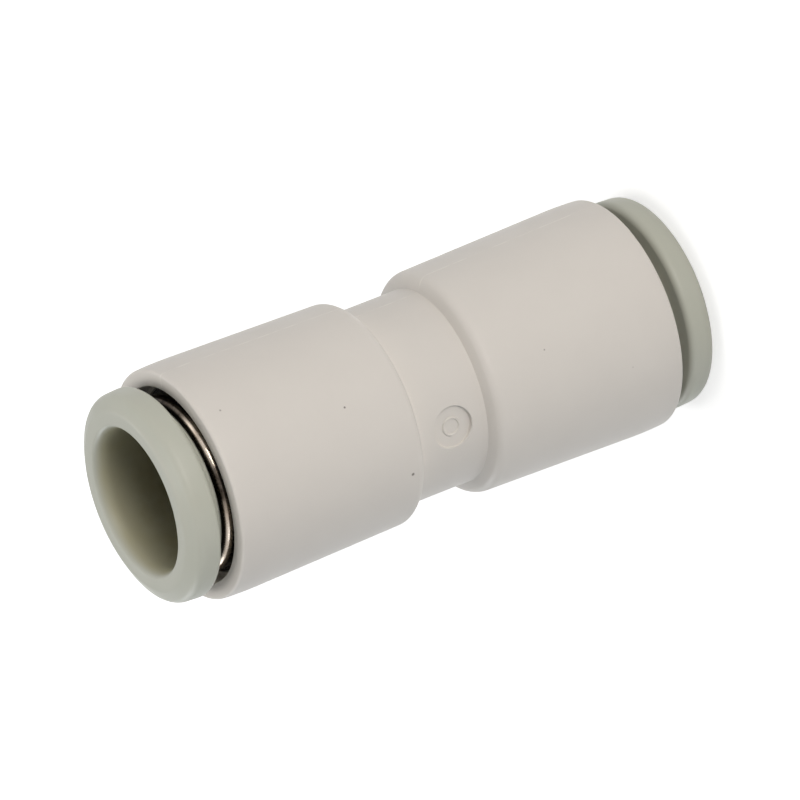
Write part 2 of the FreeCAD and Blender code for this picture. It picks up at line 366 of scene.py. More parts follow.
class NodeBoard:
    """A node tree, with short calls to add nodes and wire them."""

    def __init__(self, tree: bpy.types.NodeTree) -> None:
        """Takes a tree.

        Args:
            tree: Node tree of a material or of the world.
        """
        self.nodes = tree.nodes
        self.links = tree.links

    def feed(self, socket: Socket, value: Value) -> None:
        """Wires an output into a socket, or sets the socket's own value.

        Args:
            socket: Input to feed.
            value: Output to wire in, or value to set.
        """
        if isinstance(value, Socket):
            self.links.new(value, socket)
        else:
            socket.default_value = value

    def fill(self, node: bpy.types.Node, sockets: dict[str, Value]) -> None:
        """Feeds the inputs of a node.

        Args:
            node: Node to feed.
            sockets: Values or outputs, by socket name with _ for a space.
        """
        for key, value in sockets.items():
            self.feed(node.inputs[key.replace("_", " ")], value)

    def add(self, kind: str, **sockets: Value) -> bpy.types.Node:
        """Adds a node.

        Args:
            kind: Node type without its ShaderNode prefix.
            **sockets: Values or outputs to wire in, by socket name with _ for a space.

        Returns:
            The new node.
        """
        node = self.nodes.new(f"ShaderNode{kind}")
        self.fill(node, sockets)
        return node

    def reckon(self, kind: str, first: Value, second: Value = 0.0) -> Socket:
        """Adds a Math node.

        Args:
            kind: Operation of the node.
            first: First number or output.
            second: Second number or output, where the operation has one.

        Returns:
            The node's output.
        """
        node = self.nodes.new("ShaderNodeMath")
        node.operation = kind
        self.feed(node.inputs[0], first)
        self.feed(node.inputs[1], second)
        return node.outputs[0]

    def product(self, first: Value, *others: Value) -> Value:
        """Multiplies outputs.

        Args:
            first: First factor.
            *others: The other factors.

        Returns:
            The product.
        """
        for factor in others:
            first = self.reckon("MULTIPLY", first, factor)
        return first

    def measure(self, kind: str, *points: Value) -> Socket:
        """Adds a Vector Math node that gives a number.

        Args:
            kind: Operation of the node.
            *points: Its points, as vectors or outputs.

        Returns:
            The number.
        """
        node = self.nodes.new("ShaderNodeVectorMath")
        node.operation = kind
        for socket, point in zip(node.inputs, points):
            self.feed(socket, point)
        return node.outputs["Value"]

    def spread(self, value: Socket, span: Span, to: Span = (0.0, 1.0)) -> Socket:
        """Maps a span of numbers to another one, held at its ends.

        Args:
            value: Output to map.
            span: Its values at the start and the end.
            to: Results at the start and the end.

        Returns:
            The mapped output.
        """
        node = self.add("MapRange", Value=value)
        node.clamp = True
        self.fill(node, dict(zip(("From Min", "From Max", "To Min", "To Max"), (*span, *to))))
        return node.outputs["Result"]

    def place(self) -> Socket:
        """The place of a point in the piece's own coordinates."""
        return self.add("TexCoord").outputs["Object"]

    def axes(self) -> bpy.types.NodeOutputs:
        """The piece's own coordinates one by one, under X, Y and Z."""
        return self.add("SeparateXYZ", Vector=self.place()).outputs

    def noise(self, grain: float, detail: float, stretch: Sequence[float] = (1, 1, 1)) -> Socket:
        """Adds a noise over the piece's own coordinates.

        Args:
            grain: Size of the noise's grains in millimetres.
            detail: Number of finer layers.
            stretch: Share of the grain's fineness along X, Y and Z.

        Returns:
            The noise's output, from 0 to 1.
        """
        mapped = self.add("Mapping", Vector=self.place(), Scale=tuple(stretch)).outputs[0]
        scale = 1.0 / (grain * MM)
        return self.add("TexNoise", Vector=mapped, Scale=scale, Detail=detail).outputs["Fac"]

    def mottle(self, grain: float, detail: float, span: Span, to: Span = (0.0, 1.0)) -> Socket:
        """Adds soft patches over the piece's own coordinates."""
        return self.spread(self.noise(grain, detail), span, to)

    def blend(self, factor: Value, first: Value, second: Value) -> Socket:
        """Mixes two colours.

        Args:
            factor: 0 for the first colour, 1 for the second.
            first: First colour.
            second: Second colour.

        Returns:
            The mixed colour.
        """
        node = self.nodes.new("ShaderNodeMix")
        node.data_type = "RGBA"
        sockets = [socket for socket in node.inputs if socket.enabled]
        for socket, value in zip(sockets, (factor, first, second)):
            self.feed(socket, value)
        return next(socket for socket in node.outputs if socket.enabled)

    def bump(self, height: Socket, depth: float, under: Socket | None = None) -> Socket:
        """Adds a bump.

        Args:
            height: Output that gives the height, from 0 to 1.
            depth: Depth of the relief in millimetres.
            under: Normal that this relief lies on.

        Returns:
            The bumped normal.
        """
        node = self.add("Bump", Height=height, Distance=depth * MM, Strength=1.0)
        if under is not None:
            self.feed(node.inputs["Normal"], under)
        return node.outputs["Normal"]


class MaterialBoard(NodeBoard):
    """The node tree of a new material with a principled shader."""

    def __init__(self, name: str, middle: float = 0.0) -> None:
        """Starts the material.

        Args:
            name: Name of the material.
            middle: Height of the union's middle plane in the frame, in metres.
        """
        self.material = bpy.data.materials.new(name)
        self.material.use_nodes = True
        self.middle = middle
        super().__init__(self.material.node_tree)

    def station(self) -> Socket:
        """Distance of a point from the middle plane, in metres."""
        return self.reckon("ABSOLUTE", self.reckon("SUBTRACT", self.axes()["Z"], self.middle))

    def shade(self, **sockets: Value) -> bpy.types.Material:
        """Feeds the shader.

        Args:
            **sockets: Values or outputs, by socket name with _ for a space.

        Returns:
            The material.
        """
        self.fill(self.nodes["Principled BSDF"], sockets)
        return self.material


@dataclass(frozen=True)
class Mark:
    """Something that changes a finish's colour in places. Sizes are in millimetres."""

    colour: ClassVar[Rgb]

    def share(self, board: MaterialBoard) -> Value:
        """How much of the mark shows at a point, from 0 to 1."""
        raise NotImplementedError

    def paint(self, board: MaterialBoard) -> Value:
        """The mark's own colour."""
        return linear(*self.colour)

    def over(self, board: MaterialBoard, tint: Value) -> Socket:
        """Lays the mark over a colour.

        Args:
            board: Board of the material.
            tint: Colour so far.

        Returns:
            The colour with the mark.
        """
        return board.blend(self.share(board), tint, self.paint(board))


@dataclass(frozen=True)
class RareSpecks(Mark):
    """Dark specks that burnt grains leave in a moulding, with their edge in shares of spacing."""

    colour = BURNT
    chance: float = 0.12
    spacing: float = 2.6
    edge: Span = (0.014, 0.03)
    darkest: float = 0.85

    def share(self, board: MaterialBoard) -> Value:
        """Scatters the specks, one in every few cells.

        Args:
            board: Board of the material.

        Returns:
            The share, from 0 to 1.
        """
        fineness = 1.0 / (self.spacing * MM)
        cells = board.add("TexVoronoi", Vector=board.place(), Scale=fineness)
        near = board.spread(cells.outputs["Distance"], self.edge, (1.0, 0.0))
        luck = board.add("SeparateColor", Color=cells.outputs["Color"]).outputs[0]
        rare = board.spread(luck, (1.0 - self.chance, 1.0), (0.0, self.darkest))
        return board.product(near, rare)


@dataclass(frozen=True)
class Speck(Mark):
    """One dark speck on the top half, at degrees from minus Y, its edge in shares of its size."""

    colour = BURNT
    angle: float
    station: float
    size: float
    skin_radius: float
    edge: Span = (0.6, 1.3)
    darkest: float = 0.85

    def share(self, board: MaterialBoard) -> Value:
        """Draws the speck as a small ball that the skin passes through.

        Args:
            board: Board of the material.

        Returns:
            The share, from 0 to 1.
        """
        spot = on_ring(self.skin_radius, math.radians(self.angle), self.station)
        spot += Vector((0.0, 0.0, board.middle))
        off = board.measure("DISTANCE", board.place(), spot)
        size = self.size * MM
        core, rim = self.edge
        return board.spread(off, (size * core, size * rim), (self.darkest, 0.0))


@dataclass(frozen=True)
class SeamHighlight(Mark):
    """Painted highlight along the parting line outside a radius: a paler line, broken up in patches,
    that stands in for the light the ridge catches.
    """

    # Paler colour of the painted highlight on the parting line.
    colour = (232, 228, 220)
    radius: float
    start: float = 0.1
    edge: Span = (0.02, 0.07)
    strength: float = 0.6
    break_grain: float = 0.9
    break_span: Span = (0.44, 0.6)
    faintest: float = 0.1

    def share(self, board: MaterialBoard) -> Value:
        """Paints the highlight at plus and minus X.

        Args:
            board: Board of the material.

        Returns:
            The share, from 0 to 1.
        """
        axes = board.axes()
        core, rim = self.edge
        off = board.reckon("ABSOLUTE", axes["Y"])
        line = board.spread(off, (core * MM, rim * MM), (self.strength, 0.0))
        out = board.reckon("ABSOLUTE", axes["X"])
        outside = board.spread(out, (self.radius * MM, (self.radius + self.start) * MM))
        # Patches that break up the painted highlight.
        broken = board.mottle(self.break_grain, 3.0, self.break_span, (self.faintest, 1.0))
        return board.product(line, outside, broken)


@dataclass(frozen=True)
class BoreShade(Mark):
    """Painted shade in a bore: a yellowish tint that darkens further in, standing in for the shade
    and tinted bounce light deep inside.
    """

    # Colours of the painted shade, at the bore's mouth and deepest in.
    colour = (184, 180, 152)
    deepest_shade = (126, 120, 92)
    radius: float
    fade: float = 0.16
    patch_grain: float = 1.1
    least_share: float = 0.8
    outer_station: float = 16.2
    deep_station: float = 13.2

    def share(self, board: MaterialBoard) -> Value:
        """Lays the painted shade on all that is within the radius.

        Args:
            board: Board of the material.

        Returns:
            The share, from 0 to 1.
        """
        axes = board.axes()
        squares = [board.product(axes[name], axes[name]) for name in ("X", "Y")]
        radius = board.reckon("SQRT", board.reckon("ADD", *squares))
        edge = self.radius * MM
        inside = board.spread(radius, (edge, edge + self.fade * MM), (1.0, 0.0))
        patchy = board.mottle(self.patch_grain, 3.0, NOISE_SPAN, (self.least_share, 1.0))
        return board.product(inside, patchy)

    def paint(self, board: MaterialBoard) -> Value:
        """Darkens the painted shade along the bore, deepest furthest in.

        Args:
            board: Board of the material.

        Returns:
            The colour.
        """
        span = (self.deep_station * MM, self.outer_station * MM)
        depth = board.spread(board.station(), span, (1.0, 0.0))
        return board.blend(depth, linear(*self.colour), linear(*self.deepest_shade))


@dataclass(frozen=True)
class CollarShade(Mark):
    """Painted shade in patches on the collar, near black where it lies dark in the gap, from one
    angle to another in degrees from minus Y.
    """

    # Near black colour of the painted shade on the collar.
    colour = (38, 32, 26)
    first: float
    last: float
    fade: float = 6.0
    patch_grain: float = 0.5
    patch_span: Span = (0.36, 0.58)
    least_share: float = 0.78

    def share(self, board: MaterialBoard) -> Value:
        """Lays the painted shade on its stretch of the way round.

        Args:
            board: Board of the material.

        Returns:
            The share, from 0 to 1.
        """
        axes = board.axes()
        angle = board.reckon("ARCTAN2", axes["X"], board.product(axes["Y"], -1.0))
        first, last, fade = (math.radians(turn) for turn in (self.first, self.last, self.fade))
        begun = board.spread(angle, (first - fade, first + fade))
        going_on = board.spread(angle, (last - fade, last + fade), (1.0, 0.0))
        patches = board.mottle(self.patch_grain, 4.0, self.patch_span, (1.0, self.least_share))
        return board.product(begun, going_on, patches)


@dataclass(frozen=True)
class DeepGuideShade(Mark):
    """Painted shade, near black, over the guide apart from one clear band at the rolled crest, whose
    edge is in half widths.
    """

    # Near black colour of the painted shade deep in the mouth.
    colour = (22, 18, 13)
    clear_band_at: float
    half_width: float = 0.16
    edge: Span = (0.7, 1.4)
    strength: float = 0.96

    def share(self, board: MaterialBoard) -> Value:
        """Lays the painted shade on both sides of the band.

        Args:
            board: Board of the material.

        Returns:
            The share, from 0 to 1.
        """
        away = board.reckon("SUBTRACT", board.station(), self.clear_band_at * MM)
        half = self.half_width * MM
        clear, full = self.edge
        off = board.reckon("ABSOLUTE", away)
        return board.spread(off, (half * clear, half * full), (0.0, self.strength))


@dataclass(frozen=True)
class MouldedResin:
    """Satin moulded plastic: cloudy tint and the fine grain of the mould's surface."""

    name: str
    colour: Rgb
    cloud: Rgb
    roughness: float
    middle: float = 0.0
    marks: tuple[Mark, ...] = ()
    cloud_grain: float = 3.2
    fine_grain: float = 0.11
    fine_depth: float = 0.0012
    soft_grain: float = 1.4
    soft_depth: float = 0.004
    relief_span: Span = (0.6, 1.4)
    swing: float = 0.06
    refraction: float = 1.48
    gloss: float = 0.32

    def material(self) -> bpy.types.Material:
        """Builds the finish.

        Returns:
            The material, painted over the piece's own coordinates.
        """
        board = MaterialBoard(f"{self.name}_look", self.middle)
        clouds = board.mottle(self.cloud_grain, 3.0, NOISE_SPAN)
        tint = board.blend(clouds, linear(*self.colour), linear(*self.cloud))
        for mark in self.marks:
            tint = mark.over(board, tint)
        fine = board.noise(self.fine_grain, 2.0)
        soft = board.noise(self.soft_grain, 1.0)
        relief = board.reckon("ADD", fine, soft)
        sheen = (self.roughness - self.swing, self.roughness + self.swing)
        return board.shade(
            Base_Color=tint,
            Roughness=board.spread(relief, self.relief_span, sheen),
            Normal=board.bump(fine, self.fine_depth, board.bump(soft, self.soft_depth)),
            IOR=self.refraction,
            Specular_IOR_Level=self.gloss,
        )


@dataclass(frozen=True)
class DrawnSheet:
    """Bright metal sheet with draw marks along the axis and a faint warm tarnish."""

    name: str
    colour: Rgb
    tarnish: Rgb
    roughness: float
    middle: float = 0.0
    marks: tuple[Mark, ...] = ()
    draw_grain: float = 0.09
    draw_stretch: tuple[float, float, float] = (1.0, 1.0, 0.07)
    draw_depth: float = 0.0015
    smoother: float = 0.07
    rougher: float = 0.09
    stain_grain: float = 2.4
    stain_span: Span = (0.42, 0.62)

    def material(self) -> bpy.types.Material:
        """Builds the finish.

        Returns:
            The material, painted over the piece's own coordinates.
        """
        board = MaterialBoard(f"{self.name}_look", self.middle)
        drawn = board.noise(self.draw_grain, 3.0, self.draw_stretch)
        stain = board.mottle(self.stain_grain, 4.0, self.stain_span)
        tint = board.blend(stain, linear(*self.colour), linear(*self.tarnish))
        for mark in self.marks:
            tint = mark.over(board, tint)
        sheen = (self.roughness - self.smoother, self.roughness + self.rougher)
        return board.shade(
            Base_Color=tint,
            Metallic=1.0,
            Roughness=board.spread(drawn, NOISE_SPAN, sheen),
            Normal=board.bump(drawn, self.draw_depth),
        )


@dataclass(frozen=True)
class SealRubber:
    """Matt black moulded rubber with a fine bloom on it."""

    name: str
    colour: Rgb
    bloom: Rgb
    roughness: float = 0.7
    swing: float = 0.1
    bloom_grain: float = 0.5
    bloom_span: Span = (0.45, 0.75)
    fine_grain: float = 0.06
    fine_depth: float = 0.003

    def material(self) -> bpy.types.Material:
        """Builds the finish.

        Returns:
            The material, painted over the piece's own coordinates.
        """
        board = MaterialBoard(f"{self.name}_look")
        dust = board.mottle(self.bloom_grain, 5.0, self.bloom_span)
        fine = board.noise(self.fine_grain, 3.0)
        sheen = (self.roughness - self.swing, self.roughness + self.swing)
        return board.shade(
            Base_Color=board.blend(dust, linear(*self.colour), linear(*self.bloom)),
            Roughness=board.spread(fine, NOISE_SPAN, sheen),
            Normal=board.bump(fine, self.fine_depth),
        )


Finish = MouldedResin | DrawnSheet | SealRubber


@cache
def material_of(finish: Finish) -> bpy.types.Material:
    """The material of a finish, built the first time that a piece asks for it."""
    return finish.material()


def dress(obj: bpy.types.Object, finish: Finish) -> None:
    """Gives a piece its finish.

    Args:
        obj: Piece or CAD node.
        finish: Finish whose material the piece takes.
    """
    obj.data.materials.clear()
    obj.data.materials.append(material_of(finish))


def hand_over(obj: bpy.types.Object, node: str, body: str, finish: Finish) -> None:
    """Sets a new piece in the place of its CAD node.

    Args:
        obj: New piece, already in place.
        node: CAD node that it stands for.
        body: CAD body that it moves with.
        finish: Its finish.
    """
    dress(obj, finish)
    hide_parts(node)
    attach(obj, body)
    size = obj.dimensions / MM
    log.info(
        "%s for %s: %d faces, %.2f x %.2f x %.2f mm",
        obj.name, node, len(obj.data.polygons), size.x, size.y, size.z,
    )


@dataclass(frozen=True)
class PortStations:
    """Where things are along a port, in millimetres from the middle plane."""

    tube_stop: float = 1.6
    seal_seat: float = 4.2
    ledge: float = 6.6
    chuck_top: float = 9.65
    shoulder_underside: float = 12.6
    mouth_floor: float = 12.95
    body_end: float = 14.1
    collar_crest: float = 14.35
    flange_back: float = 15.0
    face: float = 16.85


@dataclass(frozen=True)
class PortRadii:
    """Radii round a port, in millimetres."""

    flow: float = 3.0
    bore: float = 4.06
    sleeve: float = 4.6
    collar_bore: float = 4.68
    bead: float = 4.86
    guide_bore: float = 4.94
    collar: float = 5.03
    seal_room: float = 5.05
    guide: float = 5.29
    chamber: float = 5.35
    mouth: float = 5.6


@dataclass
class MouldRecess:
    """The round recess that a mould insert leaves on the neck, with a plain raised ring in it."""

    radius: float = 1.18
    depth: float = 0.25
    lip_round: float = 0.05
    floor_round: float = 0.04
    round_steps: int = 4
    ring_radius: float = 0.49
    ring_width: float = 0.13
    ring_height: float = 0.07
    ring_bevel: float = 0.02
    patch_columns: int = 28
    patch_rows: int = 28
    patch_half_height: float = 1.72
    patch_shares: tuple[float, ...] = (0.3, 0.58, 0.8, 0.94, 1.0)

    def rows(self) -> list[float]:
        """Stations of the patch's rows across the neck."""
        step = 2.0 * self.patch_half_height / self.patch_rows
        return [self.patch_half_height - step * row for row in range(self.patch_rows + 1)]

    def fill(self, bm: bmesh.types.BMesh, border: Sequence[Vert], skin_radius: float) -> None:
        """Fills the square gap in the neck's skin with the recess.

        Args:
            bm: Mesh of the body, about the middle plane.
            border: Loop of vertices round the gap.
            skin_radius: Radius of the neck in millimetres.
        """
        flat = [(v.co.x / MM, v.co.z / MM) for v in border]
        headings = [math.atan2(z, x) for x, z in flat]
        edge = self.radius + self.lip_round
        floor = skin_radius - self.depth
        rings: list[list[Vector]] = []
        for share in self.patch_shares:
            ring = []
            for (x, z), heading in zip(flat, headings):
                across = x + (edge * math.cos(heading) - x) * share
                up = z + (edge * math.sin(heading) - z) * share
                ring.append(self.on_skin(across, up, skin_radius, 0.0))
            rings.append(ring)
        for turn in quarter_turns(self.round_steps)[1:]:
            out = edge - self.lip_round * math.sin(turn)
            sink = self.lip_round * (1.0 - math.cos(turn))
            rings.append(
                [
                    self.on_skin(out * math.cos(h), out * math.sin(h), skin_radius, sink)
                    for h in headings
                ]
            )
        for out, height in self.floor_outline():
            level = -floor - height
            rings.append(
                [Vector((out * math.cos(h), level, out * math.sin(h))) * MM for h in headings]
            )
        loop = list(border)
        for ring in rings:
            verts = [bm.verts.new(point) for point in ring]
            bridge(bm, loop, verts)
            loop = verts
        centre = bm.verts.new(Vector((0.0, -floor, 0.0)) * MM)
        for index, vert in enumerate(loop):
            bm.faces.new((vert, loop[(index + 1) % len(loop)], centre))

    @staticmethod
    def on_skin(across: float, up: float, skin_radius: float, sink: float) -> Vector:
        """A point on the neck's skin, or under it.

        Args:
            across: Distance from the recess's centre along X, in millimetres.
            up: Distance from it along Z, in millimetres.
            skin_radius: Radius of the neck in millimetres.
            sink: Depth under the skin in millimetres.

        Returns:
            The point in metres.
        """
        out = math.sqrt(skin_radius**2 - across**2) - sink
        return Vector((across, -out, up)) * MM

    def floor_outline(self) -> list[tuple[float, float]]:
        """Draws the floor from the wall's foot to the centre.

        Returns:
            Radius and height over the floor of each loop, in millimetres.
        """
        foot = [
            (
                self.radius - self.floor_round * (1.0 - math.cos(turn)),
                self.floor_round * (1.0 - math.sin(turn)),
            )
            for turn in quarter_turns(self.round_steps)
        ]
        outer = self.ring_radius + self.ring_width / 2.0
        inner = self.ring_radius - self.ring_width / 2.0
        bevel, high = self.ring_bevel, self.ring_height
        return foot + [
            ((self.radius + outer) / 2.0, 0.0),
            (outer + bevel, 0.0),
            (outer, bevel),
            (outer - bevel / 2.0, high - bevel),
            (outer - bevel * 1.5, high),
            (inner + bevel * 1.5, high),
            (inner + bevel / 2.0, high - bevel),
            (inner, bevel),
            (inner - bevel, 0.0),
            (inner / 2.0, 0.0),
        ]


@dataclass
class Body:
    """The white moulded housing: two barrels on a waisted neck, and the stepped bore of the ports."""

    stations: PortStations
    radii: PortRadii
    finish: Finish
    neck: float = 5.55
    neck_end: float = 2.12
    neck_round: float = 0.04
    shoulder: float = 6.36
    shoulder_start: float = 2.5
    shoulder_round: float = 0.62
    barrel: float = 6.588
    rim: float = 6.54
    rim_start: float = 12.0
    rim_round: float = 0.2
    rim_steps: int = 6
    mouth_round: float = 0.08
    bore_round: float = 0.06
    seat_lead_in: float = 0.3
    columns: int = 288

    def half_outline(self) -> list[Corner]:
        """Draws the top half, from the neck's top edge round to the flow bore.

        Returns:
            The corners in order.
        """
        at, r = self.stations, self.radii
        shoulder = Corner(self.shoulder, self.shoulder_start, self.shoulder_round, True)
        crown = Corner(self.barrel, self.rim_start, 0.0, True)
        rim = Corner(self.rim, at.body_end, self.rim_round, True)
        return [
            Corner(self.neck, self.neck_end, self.neck_round, True),
            shoulder,
            crown,
            *tangent_arc(shoulder, crown, rim, self.rim_steps),
            rim,
            Corner(r.mouth, at.body_end, self.mouth_round),
            Corner(r.mouth, at.mouth_floor, self.bore_round),
            Corner(r.chamber, at.mouth_floor, self.bore_round),
            Corner(r.chamber, at.ledge, self.bore_round),
            Corner(r.seal_room, at.ledge, self.bore_round),
            Corner(r.seal_room, at.seal_seat, self.bore_round),
            Corner(r.bore + self.seat_lead_in, at.seal_seat, self.bore_round),
            Corner(r.bore, at.seal_seat - self.seat_lead_in, self.bore_round),
            Corner(r.bore, at.tube_stop, self.bore_round),
            Corner(r.flow, at.tube_stop, self.bore_round),
        ]

    def build(self, middle: float) -> None:
        """Builds the housing and puts it in its node's place.

        Args:
            middle: Height of the middle plane in the frame, in metres.
        """
        recess = MouldRecess()
        half = self.half_outline()
        upper = soften(half + [Corner(self.radii.flow, 0.0), Corner(self.neck, 0.0)])[:-2]
        rows = [OutlinePoint(self.neck, station, True) for station in recess.rows()]
        lower = [OutlinePoint(p.radius, -p.station, p.skin) for p in reversed(upper)]
        outline = upper + lower + list(reversed(rows))
        parting = PartingLine()
        angles = ring_angles(self.columns, parting.angles(self.barrel))
        first_row = len(upper) + len(lower)
        last_row = first_row + recess.patch_rows
        centre = min(range(len(angles)), key=lambda index: abs(angles[index]))
        first_column = centre - recess.patch_columns // 2
        last_column = first_column + recess.patch_columns

        def in_patch(row: int, column: int) -> bool:
            """Tells whether a face lies in the gap that the recess fills."""
            return first_row <= row < last_row and first_column <= column < last_column

        bm = bmesh.new()
        grid = spin(bm, outline, angles, parting.rise, in_patch)
        border = [grid[first_row][c] for c in range(first_column, last_column)]
        border += [grid[r][last_column] for r in range(first_row, last_row)]
        border += [grid[last_row][c] for c in range(last_column, first_column, -1)]
        border += [grid[r][first_column] for r in range(last_row, first_row, -1)]
        recess.fill(bm, border, self.neck)
        obj = mesh_object("body_moulding", bm, End.TOP.place(middle))
        hand_over(obj, "body", "housing", self.finish)


@dataclass
class TurnedPiece:
    """A piece of one end that is turned from a single closed outline."""

    end: End
    stations: PortStations
    radii: PortRadii
    finish: Finish
    piece: ClassVar[str]
    node: ClassVar[str]
    columns: ClassVar[int]

    @property
    def body(self) -> str:
        """The CAD body that the piece moves with."""
        return "housing"

    def outline(self) -> list[Corner]:
        """The corners of the piece's outline in order."""
        raise NotImplementedError

    def build(self, middle: float) -> None:
        """Turns the piece and puts it in its node's place.

        Args:
            middle: Height of the middle plane in the frame, in metres.
        """
        bm = bmesh.new()
        spin(bm, soften(self.outline()), ring_angles(self.columns))
        label = self.end.label
        obj = mesh_object(f"{label}_{self.piece}", bm, self.end.place(middle))
        hand_over(obj, f"{label}_{self.node}", self.body, self.finish)


@dataclass
class ReleaseButton(TurnedPiece):
    """The grey-green button: a soft flange, and a sleeve with the bead that keeps it in."""

    piece = "button_moulding"
    node = "release_button"
    columns = 256
    nose: float = 10.2
    nose_chamfer: float = 0.2
    edge_round: float = 0.05
    bead_foot: float = 12.02
    bead_top: float = 12.52
    bead_ramp: float = 0.5
    bead_round: float = 0.1
    catch_round: float = 0.03
    flange_root: float = 0.12
    flange_back_radius: float = 6.03
    flange_front_radius: float = 5.95
    back_round: float = 0.38
    land_radius: float = 5.1
    front: float = 16.4
    front_round: float = 0.6
    lip_width: float = 0.37
    lip_length: float = 1.0
    lip_steps: int = 10

    @property
    def body(self) -> str:
        """The button's own sliding body."""
        return f"{self.end.label}_button"

    def lip(self) -> list[Corner]:
        """Draws the long soft edge that leads the tube from the face into the bore.

        Returns:
            The corners in order.
        """
        bore, face = self.radii.bore, self.stations.face
        return [
            Corner(
                bore + self.lip_width * (1.0 - math.sin(turn)),
                face - self.lip_length * (1.0 - math.cos(turn)),
            )
            for turn in quarter_turns(self.lip_steps)
        ]

    def outline(self) -> list[Corner]:
        """Draws the button, from the nose up the outside and down the bore.

        Returns:
            The corners in order.
        """
        at, r = self.stations, self.radii
        return [
            Corner(r.bore, self.nose, self.edge_round),
            Corner(r.sleeve - self.nose_chamfer, self.nose, self.edge_round),
            Corner(r.sleeve, self.nose + self.nose_chamfer, self.edge_round),
            Corner(r.sleeve, self.bead_foot - self.bead_ramp, self.bead_round),
            Corner(r.bead, self.bead_foot, self.bead_round),
            Corner(r.bead, self.bead_top, self.edge_round),
            Corner(r.sleeve, self.bead_top, self.catch_round),
            Corner(r.sleeve, at.flange_back, self.flange_root),
            Corner(self.flange_back_radius, at.flange_back, self.back_round),
            Corner(self.flange_front_radius, self.front, self.front_round),
            Corner(self.land_radius, at.face, self.front_round),
            *self.lip(),
        ]


@dataclass
class Guide(TurnedPiece):
    """The drawn metal sleeve in the mouth: barbed wall, inward shoulder and rolled collar."""

    piece = "guide_sleeve"
    node = "guide"
    columns = 224
    roll: float = 0.56
    roll_steps: int = 12
    lead_in: float = 0.03
    lead_round: float = 0.02
    foot_round: float = 0.04
    shoulder_inner_round: float = 0.1
    shoulder_edge_round: float = 0.06
    collar_foot_round: float = 0.12
    shoulder_outer_round: float = 0.2
    barb_stations: tuple[float, float] = (11.65, 10.65)
    barb_ramp: float = 0.5
    barb_edge: float = 0.02
    barb_round: float = 0.1

    def crest(self) -> list[Corner]:
        """Draws the collar's edge, which is rolled in towards the button's sleeve.

        Returns:
            The corners in order.
        """
        at, r = self.stations, self.radii
        centre = Vector((r.collar - self.roll, at.collar_crest - self.roll))
        last = math.acos((r.collar_bore + self.lead_in - centre.x) / self.roll)
        top = centre.y + self.roll * math.sin(last)
        arc = [Corner(r.collar_bore, top - self.lead_in, self.lead_round)]
        for step in range(self.roll_steps, -1, -1):
            turn = last * step / self.roll_steps
            out, up = self.roll * math.cos(turn), self.roll * math.sin(turn)
            arc.append(Corner(centre.x + out, centre.y + up))
        return arc

    def outline(self) -> list[Corner]:
        """Draws the sleeve, up the inside, over the collar and down the barbs.

        Returns:
            The corners in order.
        """
        at, r = self.stations, self.radii
        corners = [
            Corner(r.guide_bore, at.chuck_top, self.foot_round),
            Corner(r.guide_bore, at.shoulder_underside, self.shoulder_inner_round),
            Corner(r.collar_bore, at.shoulder_underside, self.shoulder_edge_round),
            *self.crest(),
            Corner(r.collar, at.mouth_floor, self.collar_foot_round),
            Corner(r.guide, at.mouth_floor, self.shoulder_outer_round),
        ]
        for step in self.barb_stations:
            corners += [
                Corner(r.guide, step, self.barb_edge),
                Corner(r.chamber, step, self.barb_edge),
                Corner(r.guide, step - self.barb_ramp, self.barb_round),
            ]
        return corners + [Corner(r.guide, at.chuck_top, self.foot_round)]


@dataclass
class Seal(TurnedPiece):
    """The rubber seal: a heel under the collet and two lips that open towards the pressure."""

    piece = "lip_seal"
    node = "seal"
    columns = 160
    heel: float = 4.3
    heel_end: float = 6.55
    heel_round: float = 0.12
    lip: float = 4.1
    lip_root: float = 5.7
    lip_thickness: float = 0.25
    root_round: float = 0.3
    inner_tip: float = 4.4
    tip_round: float = 0.08
    contact_round: float = 0.06
    groove: float = 4.55
    groove_width: float = 0.2
    groove_round: float = 0.09

    def outline(self) -> list[Corner]:
        """Draws the seal, from the heel's bore round the outside and into the groove.

        Returns:
            The corners in order.
        """
        at, r = self.stations, self.radii
        return [
            Corner(self.heel, self.heel_end, self.heel_round),
            Corner(r.seal_room, self.heel_end, self.heel_round),
            Corner(r.seal_room, at.seal_seat, self.contact_round),
            Corner(r.seal_room - self.lip_thickness, at.seal_seat, self.tip_round),
            Corner(self.groove + self.groove_width, self.lip_root, self.groove_round),
            Corner(self.groove, self.lip_root, self.groove_round),
            Corner(self.lip + self.lip_thickness, self.inner_tip, self.tip_round),
            Corner(self.lip, self.inner_tip, self.contact_round),
            Corner(self.heel, self.lip_root, self.root_round),
        ]


@dataclass
class GripRings:
    """The collet and the toothed ring of one end, whose solids are shown as they are."""

    end: End
    collet_finish: Finish
    chuck_finish: Finish

    def build(self) -> None:
        """Gives the two CAD nodes their finishes."""
        for piece, finish in (("collet", self.collet_finish), ("chuck", self.chuck_finish)):
            node = f"{self.end.label}_{piece}"
            dress(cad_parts[node], finish)
            log.info("%s shown as it is, in %s", node, finish.name)


def heading(azimuth: float, elevation: float) -> Vector:
    """The direction from the union to a lamp or the camera.

    Args:
        azimuth: Angle from minus Y towards plus X, in degrees.
        elevation: Angle over the floor, in degrees.

    Returns:
        The direction, one long.
    """
    around, over = math.radians(azimuth), math.radians(elevation)
    level = math.cos(over)
    return Vector((math.sin(around) * level, -math.cos(around) * level, math.sin(over)))


